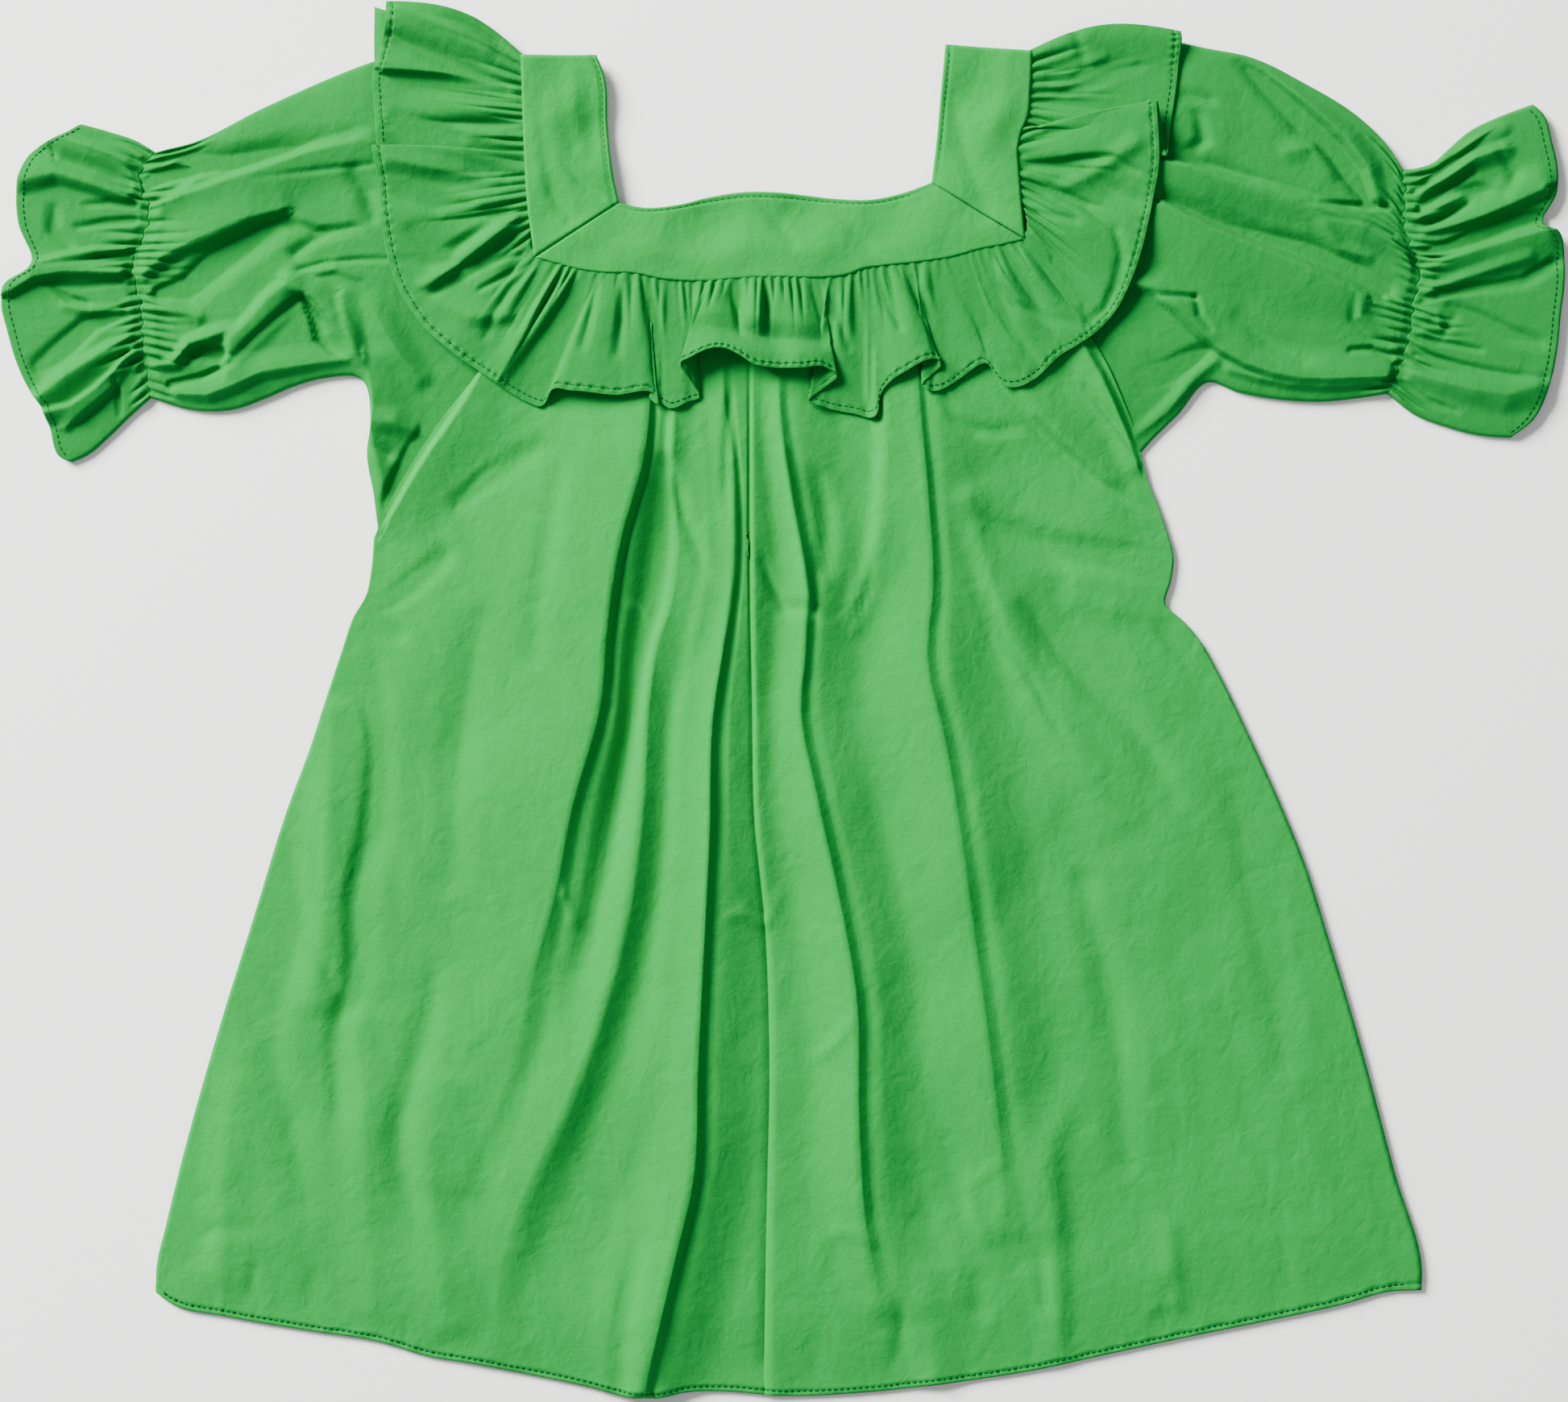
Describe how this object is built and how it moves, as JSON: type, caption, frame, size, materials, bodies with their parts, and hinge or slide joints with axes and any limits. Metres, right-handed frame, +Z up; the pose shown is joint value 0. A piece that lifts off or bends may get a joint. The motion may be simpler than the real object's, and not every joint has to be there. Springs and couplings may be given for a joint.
{
  "type": "ruffle blouse",
  "caption": "Cotton blouse laid flat: square yoke, gathered ruffle round the neckline, A-line body and short gathered sleeves that end in frills.",
  "frame": {"origin": "middle of the outline, on the surface that the blouse lies on", "axes": "+X to the right as seen from above, +Y towards the neck, +Z up, away from the surface it lies on"},
  "size_m": [0.7762, 0.6931, 0.0202],
  "materials": {
    "cotton": "matt woven cotton"
  },
  "bodies": {
    "root": {"back_ruffle": "cotton", "back_panel": "cotton", "front_panel": "cotton", "left_sleeve": "cotton", "right_sleeve": "cotton", "left_frill": "cotton", "right_frill": "cotton", "back_left_strap": "cotton", "back_neck_band": "cotton", "back_right_strap": "cotton", "front_left_strap": "cotton", "front_neck_band": "cotton", "front_right_strap": "cotton", "front_ruffle": "cotton"}
  },
  "joints": []
}
